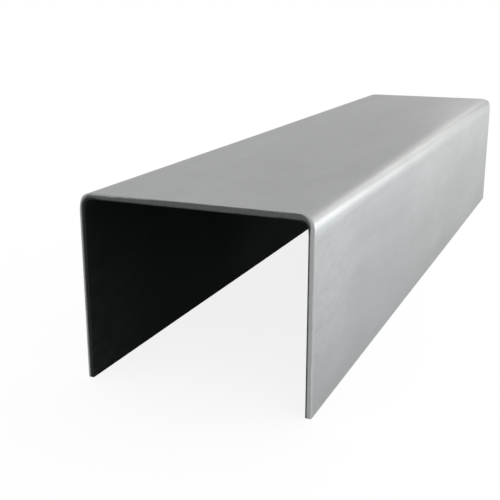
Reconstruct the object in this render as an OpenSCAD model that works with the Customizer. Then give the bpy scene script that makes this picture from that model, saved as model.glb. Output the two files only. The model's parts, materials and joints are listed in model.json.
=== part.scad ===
// A length of folded steel channel: one flat strip of sheet, bent twice on a
// press brake. It stands on the tips of its two legs, with the web on top.
// X runs across the web, Y along the length and Z up. The origin is on the
// floor, halfway between the legs and halfway along.

/* [Section] */
// Width over the outside of the two legs
web_width = 75; // [40:1:150]
// Height from the leg tips to the outside of the web
leg_height = 60; // [25:1:120]
// Thickness of the sheet
sheet_thickness = 2; // [1:0.1:4]
// Radius on the inside of each bend
bend_radius = 2.5; // [1:0.5:8]

/* [Length] */
// Length that the piece was cut to
channel_length = 315; // [100:5:3000]

/* [Edges] */
// Width of the small chamfer that deburring leaves on every cut edge
edge_break = 0.2; // [0.1:0.05:0.4]

/* [Hidden] */
$fn = 96;

// Half the width between the outsides, and between the insides, of the legs
half_width = web_width / 2;
inner_half_width = half_width - sheet_thickness;
// Height of the underside of the web
web_underside = leg_height - sheet_thickness;
// Radius on the outside of each bend
outer_bend_radius = bend_radius + sheet_thickness;
// The bend's axis: its distance from the middle of the web, and its height
bend_axis_x = half_width - outer_bend_radius;
bend_axis_y = leg_height - outer_bend_radius;
// How far a cutting shape stands clear of the metal, so that no faces coincide
overcut = 0.5;

// Shape with a flat foot on the X axis and two round top corners
module arched_outline(width, height, radius) {
    straight_height = height - radius;
    translate([-width / 2, 0]) square([width, straight_height]);
    translate([-width / 2 + radius, 0]) square([width - 2 * radius, height]);
    for (side = [-1, 1])
        translate([side * (width / 2 - radius), straight_height]) circle(r = radius);
}

// The corner that deburring takes off, where +X points out of one face of the
// metal and +Y out of the other
module edge_triangle() {
    reach = edge_break + overcut;
    polygon([[-reach, overcut], [overcut, overcut], [overcut, -reach]]);
}

// Section of the channel, with the leg tips on the X axis
module channel_section() {
    difference() {
        arched_outline(web_width, leg_height, outer_bend_radius);
        translate([0, -overcut])
            arched_outline(2 * inner_half_width, web_underside + overcut, bend_radius);
        for (side = [0, 1])
            mirror([side, 0]) {
                translate([half_width, 0]) mirror([0, 1]) edge_triangle();
                translate([inner_half_width, 0]) rotate(180) edge_triangle();
            }
    }
}

// Deburring cuts for one end of the piece. The section lies in the XY plane and
// the metal below it, and each cut runs a stated length from its start point.
module cut_down(start, length) {
    translate(start) rotate([90, 0, 0]) linear_extrude(height = length) edge_triangle();
}

module cut_up(start, length) {
    translate(start) rotate([90, 0, 180]) linear_extrude(height = length) edge_triangle();
}

module cut_right(start, length) {
    translate(start) rotate([90, 0, 90]) linear_extrude(height = length) edge_triangle();
}

module half_end_cuts() {
    // Outside and inside of the leg, and its tip
    cut_down([half_width, bend_axis_y, 0], bend_axis_y + overcut);
    cut_up([inner_half_width, -overcut, 0], bend_axis_y + overcut);
    mirror([0, 1, 0])
        cut_right([inner_half_width - overcut, 0, 0], sheet_thickness + 2 * overcut);
    // Outside and inside of the web
    cut_right([-overcut, leg_height, 0], bend_axis_x + overcut);
    translate([0, web_underside, 0]) mirror([0, 1, 0])
        cut_right([-overcut, 0, 0], bend_axis_x + overcut);
    // Outside and inside of the bend
    translate([bend_axis_x, bend_axis_y, 0]) {
        rotate_extrude(angle = 90) translate([outer_bend_radius, 0]) edge_triangle();
        rotate_extrude(angle = 90) translate([bend_radius, 0]) mirror([1, 0]) edge_triangle();
    }
}

module u_channel() {
    color("silver")
    difference() {
        rotate([90, 0, 0])
            linear_extrude(height = channel_length, center = true) channel_section();
        for (end = [0, 1], side = [0, 1])
            mirror([0, end, 0]) mirror([side, 0, 0])
                translate([0, -channel_length / 2, 0]) rotate([90, 0, 0]) half_end_cuts();
    }
}

u_channel();
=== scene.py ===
# A folded steel channel: one strip of sheet, bent twice, standing on the tips of its legs.
import json
import math

import bmesh
import bpy
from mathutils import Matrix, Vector


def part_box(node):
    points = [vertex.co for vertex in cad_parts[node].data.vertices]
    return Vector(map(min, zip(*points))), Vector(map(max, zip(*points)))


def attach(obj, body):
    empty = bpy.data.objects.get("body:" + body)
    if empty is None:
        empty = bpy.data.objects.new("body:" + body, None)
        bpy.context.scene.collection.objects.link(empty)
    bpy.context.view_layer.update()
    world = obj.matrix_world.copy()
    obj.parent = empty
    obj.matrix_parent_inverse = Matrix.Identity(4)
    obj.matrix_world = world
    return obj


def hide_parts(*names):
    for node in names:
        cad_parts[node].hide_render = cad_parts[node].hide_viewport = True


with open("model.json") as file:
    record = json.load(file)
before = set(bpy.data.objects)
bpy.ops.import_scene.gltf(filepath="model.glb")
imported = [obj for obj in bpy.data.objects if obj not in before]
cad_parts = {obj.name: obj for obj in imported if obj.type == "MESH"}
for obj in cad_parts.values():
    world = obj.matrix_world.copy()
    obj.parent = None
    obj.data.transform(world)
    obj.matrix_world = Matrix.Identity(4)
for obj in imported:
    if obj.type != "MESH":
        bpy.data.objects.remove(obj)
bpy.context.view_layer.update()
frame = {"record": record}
lowCorner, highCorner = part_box("u_channel")
scene = bpy.context.scene
scene.view_settings.view_transform = "Standard"
mm = 0.001
near = 0.01 * mm             # closer than this is the same place
aligned = 0.99               # an edge whose direction has more than this of an axis runs along it
noiseSpan = (0.3, 0.7)       # nearly all values of a noise texture lie between these
print("frame loaded")


# sRGB hex to the linear values that a colour socket takes
def hexColour(code):
    channels = [int(code[i:i + 2], 16) / 255 for i in (1, 3, 5)]
    return [c / 12.92 if c <= 0.04045 else ((c + 0.055) / 1.055) ** 2.4 for c in channels] + [1]


# Adds a node. A setting is a property if the node has one of that name, and otherwise an input.
# A link comes from an output, or from a node's first output.
def addNode(tree, kind, settings, links=None):
    node = tree.nodes.new("ShaderNode" + kind)
    for name, value in settings.items():
        if isinstance(name, str) and hasattr(node, name):
            setattr(node, name, value)
        else:
            node.inputs[name].default_value = value
    for name, source in (links or {}).items():
        tree.links.new(source.outputs[0] if hasattr(source, "outputs") else source, node.inputs[name])
    return node


def emptyMaterial(name):
    material = bpy.data.materials.new(name)
    material.use_nodes = True
    material.node_tree.nodes.clear()
    return material


# The camera stands in front, to the right, and looks down along the channel
cameraView = {
    "place": (109.0 * mm, -368.5 * mm, 113.8 * mm),
    "turn": 23.25,           # degrees to the left of the length
    "pitch": 15.97,          # degrees down
    "lens": 61.9,            # on a 36 mm sensor
    "nearest": 10 * mm,
}


def addCamera():
    turns = [math.radians(a) for a in (90 - cameraView["pitch"], 0, cameraView["turn"])]
    bpy.ops.object.camera_add(location=cameraView["place"], rotation=turns)
    camera = bpy.context.object
    camera.name = "productCamera"
    camera.data.lens = cameraView["lens"]
    camera.data.clip_start = cameraView["nearest"]
    scene.camera = camera
    print("camera placed")


# The strip: its finish is in the materials below, and its sizes over all come from the frame
channel = {
    "insideBend": 2.5 * mm,    # radius on the inside of each bend
    # A pressed bend is tight in the middle and eases into the flats. These are the radii outside
    # and the degrees of one half, and together they reach as far into the corner as a plain bend.
    "bendArcs": ((24 * mm, 4), (12 * mm, 8), (6 * mm, 12), (3.095 * mm, 21)),
    "arcStep": 3,              # degrees, roughly
    "webCuts": 12,
    "legCuts": 9,
    "lengthCuts": 59,          # rows about 5 mm apart
    "outerRound": 0.30 * mm,   # rounding that the shear leaves on the outer edges
    "innerRound": 0.12 * mm,   # and the much sharper burr side
    "roundSegments": 4,
    "cutCorner": 60,           # a cut edge turns by more than these degrees
    "smoothBelow": 40,         # and what turns by less than these is shaded smooth
    "bendPull": 0.067 * mm,    # how far bending draws the ends of each bend back
    "pullReach": 40,           # over this many degrees to each side of the middle of the bend
    "unevenness": 0.16 * mm,   # deepest hollow in the rolled sheet
    "hollowSize": 90 * mm,     # and how far apart the hollows are
}
mounts = {m["name"]: m for m in frame["record"]["mounts"]}
sheet = mounts["web_outside"]["pos_m"][2] - mounts["web_inside"]["pos_m"][2]
outsideBend = channel["insideBend"] + sheet
axisX, axisZ = highCorner.x - outsideBend, highCorner.z - outsideBend    # of the right bend


# Selects the edges for which the test is true, from their middle and direction
def selectEdges(piece, test):
    bpy.ops.mesh.select_mode(type="EDGE")
    bpy.ops.mesh.select_all(action="DESELECT")
    mesh = bmesh.from_edit_mesh(piece.data)
    for edge in mesh.edges:
        start, end = (v.co for v in edge.verts)
        if test((start + end) / 2, (end - start).normalized(), edge):
            edge.select_set(True)
    mesh.select_flush_mode()
    bmesh.update_edit_mesh(piece.data)


def applyModifier(piece, kind, **settings):
    modifier = piece.modifiers.new(kind.title(), kind)
    for name, value in settings.items():
        setattr(modifier, name, value)
    bpy.ops.object.modifier_apply(modifier=modifier.name)


def foldStrip():
    arcs = channel["bendArcs"] + channel["bendArcs"][::-1]
    turned, reach = 0.0, 0.0
    for radius, degrees in arcs:
        reach -= radius * math.sin(turned)
        turned += math.radians(degrees)
        reach += radius * math.sin(turned)
    webHalf, legTop = highCorner.x - reach, highCorner.z - reach

    bpy.ops.object.select_all(action="DESELECT")
    bpy.ops.mesh.primitive_plane_add(size=1, enter_editmode=True)
    piece = bpy.context.object
    piece.name = "foldedChannel"
    bpy.ops.transform.resize(value=(2 * webHalf, highCorner.y - lowCorner.y, 1))
    bpy.ops.transform.translate(value=(0, 0, highCorner.z))
    for side in (1, -1):
        selectEdges(
            piece, lambda mid, way, edge: abs(mid.x - side * webHalf) < near and abs(way.y) > aligned)
        x, z, turned = webHalf, highCorner.z, 0.0
        for radius, degrees in arcs:
            centreX, centreZ = x - radius * math.sin(turned), z - radius * math.cos(turned)
            bpy.ops.mesh.spin(
                steps=math.ceil(degrees / channel["arcStep"]), angle=-side * math.radians(degrees),
                center=(side * centreX, 0, centreZ), axis=(0, 1, 0))
            turned += math.radians(degrees)
            x, z = centreX + radius * math.sin(turned), centreZ + radius * math.cos(turned)
        bpy.ops.mesh.extrude_region_move(TRANSFORM_OT_translate={"value": (0, 0, -legTop)})
    bpy.ops.mesh.select_all(action="SELECT")
    bpy.ops.mesh.remove_doubles(threshold=near)
    bpy.ops.mesh.normals_make_consistent(inside=False)

    # Rows of faces, so that the sheet can carry its slight unevenness
    selectEdges(piece, lambda mid, way, edge: abs(way.x) > aligned and abs(mid.x) < webHalf)
    bpy.ops.mesh.subdivide(number_cuts=channel["webCuts"])
    selectEdges(piece, lambda mid, way, edge: abs(way.z) > aligned and mid.z < legTop)
    bpy.ops.mesh.subdivide(number_cuts=channel["legCuts"])
    selectEdges(piece, lambda mid, way, edge: abs(way.y) > aligned)
    bpy.ops.mesh.subdivide(number_cuts=channel["lengthCuts"])
    bpy.ops.object.mode_set(mode="OBJECT")
    print("strip folded")
    return piece


# Bending stretches the outside of the sheet, which draws the ends of a bend back a little
def drawBendsBack(piece):
    bpy.ops.object.mode_set(mode="EDIT")
    for end in (1, -1):
        def onBendEnd(mid, way, edge):
            angle = math.atan2(mid.z - axisZ, abs(mid.x) - axisX)
            atEnd = abs(mid.y - end * highCorner.y) < near
            return atEnd and abs(angle - math.pi / 4) < math.radians(channel["pullReach"])
        selectEdges(piece, onBendEnd)
        bpy.ops.transform.translate(value=(0, -end * channel["bendPull"], 0))
    bpy.ops.object.mode_set(mode="OBJECT")


# Rolled sheet is never quite flat. The hollows only go inwards, so the piece stays within its size.
def unevenStrip(piece):
    hollows = bpy.data.textures.new("slowHollows", "CLOUDS")
    hollows.noise_scale = channel["hollowSize"]
    hollows.noise_depth = 0
    applyModifier(
        piece, "DISPLACE", texture=hollows, texture_coords="LOCAL", direction="NORMAL",
        mid_level=1.0, strength=channel["unevenness"])


# The inside takes the second material and the cut edges the third
def thickenStrip(piece):
    outside, inside, cut = 0, 1, 2
    applyModifier(
        piece, "SOLIDIFY", thickness=sheet, offset=-1, use_even_offset=True,
        material_offset=inside, material_offset_rim=cut)
    bpy.ops.object.mode_set(mode="EDIT")
    for skin, size in ((outside, channel["outerRound"]), (inside, channel["innerRound"])):
        def onSkinEdge(mid, way, edge):
            indices = sorted(f.material_index for f in edge.link_faces)
            return edge.calc_face_angle(0) > math.radians(channel["cutCorner"]) and indices == [skin, cut]
        selectEdges(piece, onSkinEdge)
        bpy.ops.mesh.bevel(offset=size, segments=channel["roundSegments"], affect="EDGES")
    bpy.ops.object.mode_set(mode="OBJECT")
    bpy.ops.object.shade_smooth_by_angle(angle=math.radians(channel["smoothBelow"]))
    applyModifier(piece, "WEIGHTED_NORMAL", keep_sharp=True)


def buildChannel():
    piece = foldStrip()
    for material in (satinZinc(), paintedShadeInside(), shearedEdge()):
        piece.data.materials.append(material)
    print("finishes mixed")
    drawBendsBack(piece)
    unevenStrip(piece)
    thickenStrip(piece)
    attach(piece, "root")
    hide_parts("u_channel")
    print("channel built:", len(piece.data.polygons), "faces")


# The patterns of a material, each from about -1 to 1, with spots of its size in millimetres
# along X, Y and Z. Object coordinates are turned to millimetres first.
def addPatterns(tree, patterns):
    coords = addNode(tree, "TexCoord", {})
    place = addNode(
        tree, "VectorMath", {"operation": "SCALE", "Scale": 1 / mm}, {0: coords.outputs["Object"]})
    layers = {}
    for name, (size, detail, slant) in patterns.items():
        turned = addNode(tree, "Mapping", {"Rotation": (slant, 0, slant)}, {"Vector": place})
        stretched = addNode(tree, "VectorMath", {"operation": "DIVIDE", 1: size}, {0: turned})
        noise = addNode(tree, "TexNoise", {"Scale": 1.0, "Detail": detail}, {"Vector": stretched})
        layers[name] = addNode(
            tree, "MapRange", {
                "clamp": False, "From Min": noiseSpan[0], "From Max": noiseSpan[1],
                "To Min": -1, "To Max": 1},
            {"Value": noise})
    return place, layers


# Lays the layers over each other: each blend is its start plus the layers times their weights
def blendLayers(tree, blends, layers):
    found = {}
    for name, (start, weights) in blends.items():
        total = None
        for layer, weight in weights.items():
            links = {0: layers[layer], 2: total} if total else {0: layers[layer]}
            total = addNode(tree, "Math", {"operation": "MULTIPLY_ADD", 1: weight, 2: start}, links)
        found[name] = total
    return found


# Zinc-coated steel sheet, skin-passed to a satin finish. It gives a soft, broad gloss over an
# even mid grey, with a faint grain along the length, cloudy patches, soft scuffs from handling
# and a few hairline scratches.
zincFinish = {
    "dark": "#9A9B9B",
    "light": "#BCBDBD",
    "edgeTint": (0.7, 0.7, 0.7, 1),    # a fine satin texture reflects less at a glancing angle
    "patterns": {                      # size along X, Y and Z, detail, slant in radians
        "grain": ((0.8, 45, 0.8), 3, 0),         # real grain is 0.1 mm wide, too fine to show
        "pits": ((0.9, 1.1, 0.9), 2, 0),         # real skin-pass pits are 0.2 mm, too fine to show
        "clouds": ((36, 120, 36), 2, 0),
        "stains": ((8, 20, 8), 4, 0),
        "scuffs": ((2.2, 6, 2.2), 3, 0),
        "hairlines": ((6, 240, 6), 0, 0.06),
    },
    # Places are in millimetres from the near foot of the right leg
    # The scuffed area is also painted lighter as a whole, partly painted light on the right leg
    "scuffedAndLitPlace": (0, 17.5, 34),
    "scuffedAndLitReach": 36,
    "dings": (                         # place and radius of small dents
        ((0, 10, 1.8), 0.9),
        ((0, 9.5, 31), 0.5),
    ),
    "dingFloor": 0.4,                  # share of the radius that is flat
    "hairlineWidth": (0.02, 0.06),     # where its pattern is below the first, fading out to the second
    "hairlineStains": (0.1, 0.6),      # it shows from the first strength of the stains, fully by the second
    # The strip is partly rubbed bright by stacking, partly a painted highlight of the rounded edge
    "rubbedAndLitEdge": (0.4, 1.4),          # strip of wear and painted highlight, fading out to the second
    "rubbedAndLitWander": 0.35,
    "reliefDepth": 0.002,
    "blends": {
        # In the tone, the darkening toward the leg tips is painted shade
        "tone": (0.5, {
            "grain": 0.06, "pits": 0.05, "clouds": 0.08, "stains": 0.06, "scuffs": 0.16,
            "scuffedAndLitArea": 0.24, "scratches": 0.15, "rubbedAndLit": 0.25, "dings": -1.2, "tipShade": -0.3}),
        "roughness": (0.42, {"grain": 0.015, "clouds": 0.01, "scuffs": -0.02, "rubbedAndLit": -0.03}),
        "height": (0, {"grain": 0.3, "pits": 0.5, "scuffs": 0.2, "scratches": -1, "dings": -8}),
    },
}


def satinZinc():
    spec = zincFinish
    material = emptyMaterial("satinZincCoatedSteel")
    tree = material.node_tree
    place, layers = addPatterns(tree, spec["patterns"])
    split = addNode(tree, "SeparateXYZ", {}, {0: place})
    foot = Vector((highCorner.x, lowCorner.y, lowCorner.z)) / mm

    # Soft scuffs, strongest in one area, which is painted lighter as a whole: partly painted light
    away = addNode(
        tree, "VectorMath", {"operation": "DISTANCE", 1: foot + Vector(spec["scuffedAndLitPlace"])}, {0: place})
    layers["scuffedAndLitArea"] = addNode(
        tree, "MapRange",
        {"interpolation_type": "SMOOTHSTEP", "From Min": spec["scuffedAndLitReach"], "From Max": 0},
        {"Value": away.outputs["Value"]})
    layers["scuffs"] = addNode(
        tree, "Math", {"operation": "MULTIPLY"}, {0: layers["scuffs"], 1: layers["scuffedAndLitArea"]})

    # Hairline scratches follow the zero line of a long, slanted pattern, where the stains are strong
    fromLine = addNode(tree, "Math", {"operation": "ABSOLUTE"}, {0: layers["hairlines"]})
    full, gone = spec["hairlineWidth"]
    thin = addNode(
        tree, "MapRange", {"interpolation_type": "SMOOTHSTEP", "From Min": gone, "From Max": full},
        {"Value": fromLine})
    start, end = spec["hairlineStains"]
    broken = addNode(
        tree, "MapRange", {"interpolation_type": "SMOOTHSTEP", "From Min": start, "From Max": end},
        {"Value": layers["stains"]})
    layers["scratches"] = addNode(tree, "Math", {"operation": "MULTIPLY"}, {0: thin, 1: broken})

    # Bright strips along the cut ends and the leg tips, with a wandering border: partly rubbed wear, partly
    # a painted highlight of the rounded edges. They grow toward the tips, along the ramp of the painted tip
    # shade.
    fromMiddle = addNode(tree, "Math", {"operation": "ABSOLUTE"}, {0: split.outputs["Y"]})
    fromEnd = addNode(tree, "Math", {"operation": "SUBTRACT", 0: highCorner.y / mm}, {1: fromMiddle})
    nearest = addNode(tree, "Math", {"operation": "MINIMUM"}, {0: fromEnd, 1: split.outputs["Z"]})
    wandering = addNode(
        tree, "Math", {"operation": "MULTIPLY_ADD", 1: spec["rubbedAndLitWander"]},
        {0: layers["stains"], 2: nearest})
    full, gone = spec["rubbedAndLitEdge"]
    strips = addNode(
        tree, "MapRange", {"interpolation_type": "SMOOTHSTEP", "From Min": gone, "From Max": full},
        {"Value": wandering})
    # Painted shade: the legs are painted darker toward their tips
    layers["tipShade"] = addNode(
        tree, "MapRange", {"From Min": highCorner.z / mm, "From Max": 0}, {"Value": split.outputs["Z"]})
    layers["rubbedAndLit"] = addNode(
        tree, "Math", {"operation": "MULTIPLY"}, {0: strips, 1: layers["tipShade"]})

    for dingPlace, radius in spec["dings"]:
        away = addNode(
            tree, "VectorMath", {"operation": "DISTANCE", 1: foot + Vector(dingPlace)}, {0: place})
        ding = addNode(
            tree, "MapRange", {
                "interpolation_type": "SMOOTHSTEP",
                "From Min": radius, "From Max": radius * spec["dingFloor"]},
            {"Value": away.outputs["Value"]})
        if "dings" in layers:
            ding = addNode(tree, "Math", {"operation": "ADD"}, {0: layers["dings"], 1: ding})
        layers["dings"] = ding

    blends = blendLayers(tree, spec["blends"], layers)
    colour = addNode(
        tree, "Mix", {"data_type": "RGBA", 6: hexColour(spec["dark"]), 7: hexColour(spec["light"])},
        {0: blends["tone"]})
    relief = addNode(
        tree, "Bump", {"Strength": 1.0, "Distance": spec["reliefDepth"] * mm}, {"Height": blends["height"]})
    shader = addNode(
        tree, "BsdfPrincipled", {"Metallic": 1.0, "Specular Tint": spec["edgeTint"]},
        {"Base Color": colour.outputs[2], "Roughness": blends["roughness"], "Normal": relief})
    addNode(tree, "OutputMaterial", {}, {"Surface": shader})
    return material


# Painted shade: a nearly black, matt finish on the side of the strip that is hidden in use, standing in
# for the deep shade inside the channel. It has a faint orange peel, and is painted paler near the open
# ends.
insideShadeFinish = {
    "dark": "#141818",
    "light": "#1D2222",
    # the paler colour near the open ends is painted light
    "litNearEnds": "#323635",
    "specular": 0.04,                  # hardly any gloss, so that the painted shade stays dark
    "patterns": {
        "clouds": ((28, 40, 28), 4, 0),
        "peel": ((1.4, 1.4, 1.4), 1, 0),         # real orange peel is about as coarse
        "specks": ((5, 9, 5), 5, 0),
    },
    "endLightReach": 70,                   # millimetres from the ends to where the painted light fades out
    "peelDepth": 0.006,
    "blends": {
        "tone": (0.5, {"clouds": 0.3, "peel": 0.06}),
        "endLight": (0.55, {"specks": 0.3, "clouds": 0.1}),
        "roughness": (0.8, {"clouds": 0.04}),
    },
}


def paintedShadeInside():
    spec = insideShadeFinish
    material = emptyMaterial("insideShadeSkin")
    tree = material.node_tree
    place, layers = addPatterns(tree, spec["patterns"])
    split = addNode(tree, "SeparateXYZ", {}, {0: place})
    blends = blendLayers(tree, spec["blends"], layers)

    # Painted light: paler low down and near the open ends, where light falls in through the ends
    fromMiddle = addNode(tree, "Math", {"operation": "ABSOLUTE"}, {0: split.outputs["Y"]})
    end = highCorner.y / mm
    nearEnd = addNode(
        tree, "MapRange",
        {"interpolation_type": "SMOOTHSTEP", "From Min": end - spec["endLightReach"], "From Max": end},
        {"Value": fromMiddle})
    lowDown = addNode(
        tree, "MapRange",
        {"interpolation_type": "SMOOTHSTEP", "From Min": highCorner.z / mm, "From Max": 0},
        {"Value": split.outputs["Z"]})
    lowNearEnd = addNode(tree, "Math", {"operation": "MULTIPLY"}, {0: nearEnd, 1: lowDown})
    endLight = addNode(tree, "Math", {"operation": "MULTIPLY"}, {0: blends["endLight"], 1: lowNearEnd})

    shadeTone = addNode(
        tree, "Mix", {"data_type": "RGBA", 6: hexColour(spec["dark"]), 7: hexColour(spec["light"])},
        {0: blends["tone"]})
    colour = addNode(
        tree, "Mix", {"data_type": "RGBA", 7: hexColour(spec["litNearEnds"])}, {0: endLight, 6: shadeTone.outputs[2]})
    relief = addNode(
        tree, "Bump", {"Strength": 1.0, "Distance": spec["peelDepth"] * mm}, {"Height": layers["peel"]})
    shader = addNode(
        tree, "BsdfPrincipled", {"Specular IOR Level": spec["specular"]},
        {"Base Color": colour.outputs[2], "Roughness": blends["roughness"], "Normal": relief})
    addNode(tree, "OutputMaterial", {}, {"Surface": shader})
    return material


# Sheared steel. The blade burnishes the first part of the cut to a pale grey, and the rest tears off
# darker.
# On the right leg the burnished part is painted much deeper, with a pale strip along its outer corner:
# painted light from the right. A near-black band along the inner side, widest on the left leg, is painted
# shade.
edgeFinish = {
    "burnished": "#9B9E9C",
    "torn": "#565957",
    "litCorner": "#B8BBBA",
    "innerShade": "#1C2020",
    "specular": 0.15,                  # keeps the painted shade on the inner edge nearly as matt as inside
    "roughness": 0.50,
    "tornRoughness": 0.12,             # what tearing adds to it
    "tornUnevenness": 0.08,
    "patterns": {
        "tear": ((0.8, 0.8, 0.8), 3, 0),         # real tears are 0.2 mm, too fine to show
        "run": ((4, 4, 4), 2, 0),
    },
    # Millimetres round the fold from the middle of the web, rightwards, between which each depth
    # changes from the first to the second
    "depths": {
        # The pale outer strip and the deeper burnish on the right leg are painted light
        "litCornerDepth": ((32, 40), (-0.3, 0.45)),
        "leftBurnish": ((0, -33), (0, 0.5)),
        "rightLitBurnish": ((32, 43), (0.2, 1.6)),
        # The near-black band along the inner side of the cut is painted shade
        "leftInnerShade": ((-28, -46), (0, 0.9)),
        "rightInnerShade": ((32, 43), (0, 0.05)),
    },
    "blends": {                        # millimetres past the border of each zone
        "torn": (0, {"depth": 1, "leftBurnish": -1, "rightLitBurnish": -1, "tear": -0.12, "run": -0.1}),
        "innerShade": (-sheet / mm, {"depth": 1, "leftInnerShade": 1, "rightInnerShade": 1, "run": 0.12}),
        "litCorner": (0, {"depth": -1, "litCornerDepth": 1, "run": 0.1}),
    },
    "borders": {"torn": (-0.25, 0.3), "innerShade": (-0.5, 0.25), "litCorner": (-0.15, 0.15)},
    "tearDepth": 0.012,
}


def shearedEdge():
    spec = edgeFinish
    material = emptyMaterial("shearedSteelEdge")
    tree = material.node_tree
    place, layers = addPatterns(tree, spec["patterns"])
    split = addNode(tree, "SeparateXYZ", {}, {0: place})

    # Depth below the outer skin, which is round about the axis of each bend
    beyondEnd = 2 * highCorner.y / mm    # no place is so far out, so Y counts for nothing
    axis = (axisX / mm, beyondEnd, axisZ / mm)
    folded = addNode(tree, "VectorMath", {"operation": "ABSOLUTE"}, {0: place})
    outwards = addNode(tree, "VectorMath", {"operation": "SUBTRACT", 1: axis}, {0: folded})
    beyond = addNode(tree, "VectorMath", {"operation": "MAXIMUM", 1: (0, 0, 0)}, {0: outwards})
    reach = addNode(tree, "VectorMath", {"operation": "LENGTH"}, {0: beyond})
    layers["depth"] = addNode(
        tree, "Math", {"operation": "SUBTRACT", 0: outsideBend / mm}, {1: reach.outputs["Value"]})

    # How far round the fold a place is: as X along the web, and growing down both legs
    below = addNode(tree, "Math", {"operation": "SUBTRACT", 0: highCorner.z / mm}, {1: split.outputs["Z"]})
    side = addNode(tree, "Math", {"operation": "SIGN"}, {0: split.outputs["X"]})
    fold = addNode(
        tree, "Math", {"operation": "MULTIPLY_ADD"}, {0: side, 1: below, 2: split.outputs["X"]})
    for name, ((start, end), (first, second)) in spec["depths"].items():
        layers[name] = addNode(
            tree, "MapRange", {
                "interpolation_type": "SMOOTHSTEP",
                "From Min": start, "From Max": end, "To Min": first, "To Max": second},
            {"Value": fold})

    blends = blendLayers(tree, spec["blends"], layers)
    share = {}
    for name, (start, end) in spec["borders"].items():
        share[name] = addNode(
            tree, "MapRange", {"interpolation_type": "SMOOTHSTEP", "From Min": start, "From Max": end},
            {"Value": blends[name]})

    uneven = addNode(
        tree, "Math", {"operation": "MULTIPLY_ADD", 1: spec["tornUnevenness"]},
        {0: layers["tear"], 2: share["torn"]})
    colour = addNode(
        tree, "Mix", {"data_type": "RGBA", 6: hexColour(spec["burnished"]), 7: hexColour(spec["torn"])},
        {0: uneven})
    for name in ("litCorner", "innerShade"):
        colour = addNode(
            tree, "Mix", {"data_type": "RGBA", 7: hexColour(spec[name])},
            {0: share[name], 6: colour.outputs[2]})
    metallic = addNode(tree, "Math", {"operation": "SUBTRACT", 0: 1.0}, {1: share["innerShade"]})
    roughness = addNode(
        tree, "Math", {"operation": "MULTIPLY_ADD", 1: spec["tornRoughness"], 2: spec["roughness"]},
        {0: share["torn"]})
    rough = addNode(tree, "Math", {"operation": "MULTIPLY"}, {0: layers["tear"], 1: share["torn"]})
    relief = addNode(
        tree, "Bump", {"Strength": 1.0, "Distance": spec["tearDepth"] * mm}, {"Height": rough})
    shader = addNode(
        tree, "BsdfPrincipled", {"Specular IOR Level": spec["specular"]},
        {"Base Color": colour.outputs[2], "Metallic": metallic, "Roughness": roughness, "Normal": relief})
    addNode(tree, "OutputMaterial", {}, {"Surface": shader})
    return material


# A white table and a white surround. Only what the eye and reflections see is lifted to white.
studio = {
    "floorSize": 40.0,
    "floorColour": "#E6E6E6",   # what the floor sends back onto the object
    "floorShade": 0.24,         # share of the visible white that lamps and shadows decide
    "mirroredShade": 0.40,      # and the same share in reflections, where the shadow is deeper
    "ambient": 0.60,            # light from all round
}


def addFloor():
    bpy.ops.object.select_all(action="DESELECT")
    bpy.ops.mesh.primitive_plane_add(size=studio["floorSize"], location=(0, 0, lowCorner.z))
    floor = bpy.context.object
    floor.name = "whiteTable"
    material = emptyMaterial("whiteTableTop")
    material.cycles.emission_sampling = "NONE"
    tree = material.node_tree
    path = addNode(tree, "LightPath", {})
    shade = addNode(
        tree, "MapRange", {"To Min": studio["mirroredShade"], "To Max": studio["floorShade"]},
        {"Value": path.outputs["Is Camera Ray"]})
    fill = addNode(tree, "Math", {"operation": "MULTIPLY_ADD", 1: -studio["ambient"], 2: 1}, {0: shade})
    shaded = addNode(tree, "BsdfDiffuse", {}, {"Color": shade})
    white = addNode(tree, "Emission", {}, {"Strength": fill})
    visible = addNode(tree, "AddShader", {}, {0: shaded, 1: white})
    plain = addNode(tree, "BsdfDiffuse", {"Color": hexColour(studio["floorColour"])})
    mixed = addNode(
        tree, "MixShader", {}, {0: path.outputs["Is Diffuse Ray"], 1: visible, 2: plain})
    addNode(tree, "OutputMaterial", {}, {"Surface": mixed})
    floor.data.materials.append(material)
    print("floor laid")


# Full white for the eye and for gloss, and less as soft light between surfaces
def addSurround():
    world = bpy.data.worlds.new("whiteSurround")
    scene.world = world
    world.use_nodes = True
    world.cycles.sampling_method = "NONE"
    tree = world.node_tree
    tree.nodes.clear()
    path = addNode(tree, "LightPath", {})
    seen = path.outputs["Is Camera Ray"]
    for name in ("Is Glossy Ray", "Is Transmission Ray"):
        seen = addNode(tree, "Math", {"operation": "MAXIMUM"}, {0: seen, 1: path.outputs[name]})
    strength = addNode(tree, "MapRange", {"To Min": studio["ambient"], "To Max": 1}, {"Value": seen})
    sky = addNode(tree, "Background", {"Color": (1, 1, 1, 1)}, {"Strength": strength})
    addNode(tree, "OutputWorld", {}, {"Surface": sky})
    print("surround added")


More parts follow.
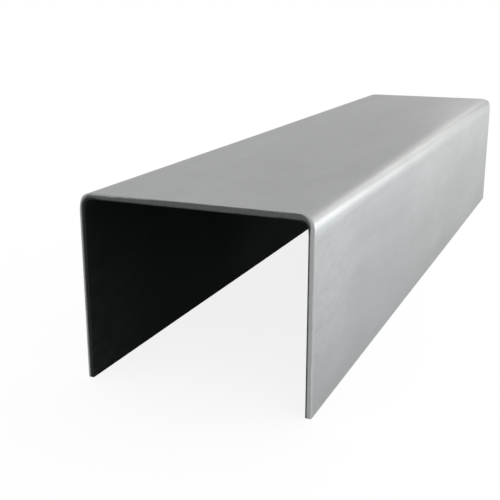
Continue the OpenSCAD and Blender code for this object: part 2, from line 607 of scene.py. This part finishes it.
# Two low softboxes light the right leg, and stand too low for the web to mirror them. A weaker
# one above them and four small ones follow the right bend. Bearings are to the right of the
# length, and heights above the horizon, both in degrees.
lamps = {
    "legSoftbox": {
        "aim": (30 * mm, 0, 30 * mm), "bearing": 80, "height": 0, "distance": 400 * mm,
        "size": (200 * mm, 45 * mm), "watts": 0.486, "colour": "#E6F7FF"},
    "farLegSoftbox": {
        "aim": (30 * mm, 0, 30 * mm), "bearing": 40, "height": 0, "distance": 600 * mm,
        "size": (250 * mm, 45 * mm), "watts": 0.395, "colour": "#F8FAF9"},
    "highSoftbox": {
        "aim": (30 * mm, 0, 40 * mm), "bearing": 50, "height": 9, "distance": 600 * mm,
        "size": (250 * mm, 250 * mm), "watts": 0.302, "colour": "#F9FAF7"},
    "nearBendSpot": {
        "aim": (35 * mm, 0, 58 * mm), "bearing": 25, "height": 20, "distance": 200 * mm,
        "size": (60 * mm, 60 * mm), "watts": 0.0311, "colour": "#FCFBF5"},
    "middleBendSpot": {
        "aim": (35 * mm, 0, 58 * mm), "bearing": 22, "height": 8, "distance": 250 * mm,
        "size": (60 * mm, 60 * mm), "watts": 0.0184, "colour": "#FCFBF5"},
    "backSpot": {
        "aim": (35 * mm, 0, 58 * mm), "bearing": 0, "height": 20, "distance": 200 * mm,
        "size": (60 * mm, 60 * mm), "watts": 0.0091, "colour": "#FCFBF5"},
    "farBendSpot": {
        "aim": (35 * mm, 70 * mm, 55 * mm), "bearing": 5, "height": 24, "distance": 200 * mm,
        "size": (50 * mm, 50 * mm), "watts": 0.0114, "colour": "#FCFBF5"},
}


def addLamps():
    for name, lamp in lamps.items():
        bearing, height = math.radians(lamp["bearing"]), math.radians(lamp["height"])
        way = Vector((
            math.sin(bearing) * math.cos(height), math.cos(bearing) * math.cos(height), math.sin(height)))
        bpy.ops.object.light_add(type="AREA", location=Vector(lamp["aim"]) + lamp["distance"] * way)
        light = bpy.context.object
        light.name = name
        light.rotation_euler = way.to_track_quat("Z", "Y").to_euler()
        light.data.shape = "RECTANGLE"
        light.data.size, light.data.size_y = lamp["size"]
        light.data.energy = lamp["watts"]
        light.data.color = hexColour(lamp["colour"])[:3]
        light.visible_camera = False
    print("lamps hung")


addCamera()
buildChannel()
addFloor()
addSurround()
addLamps()
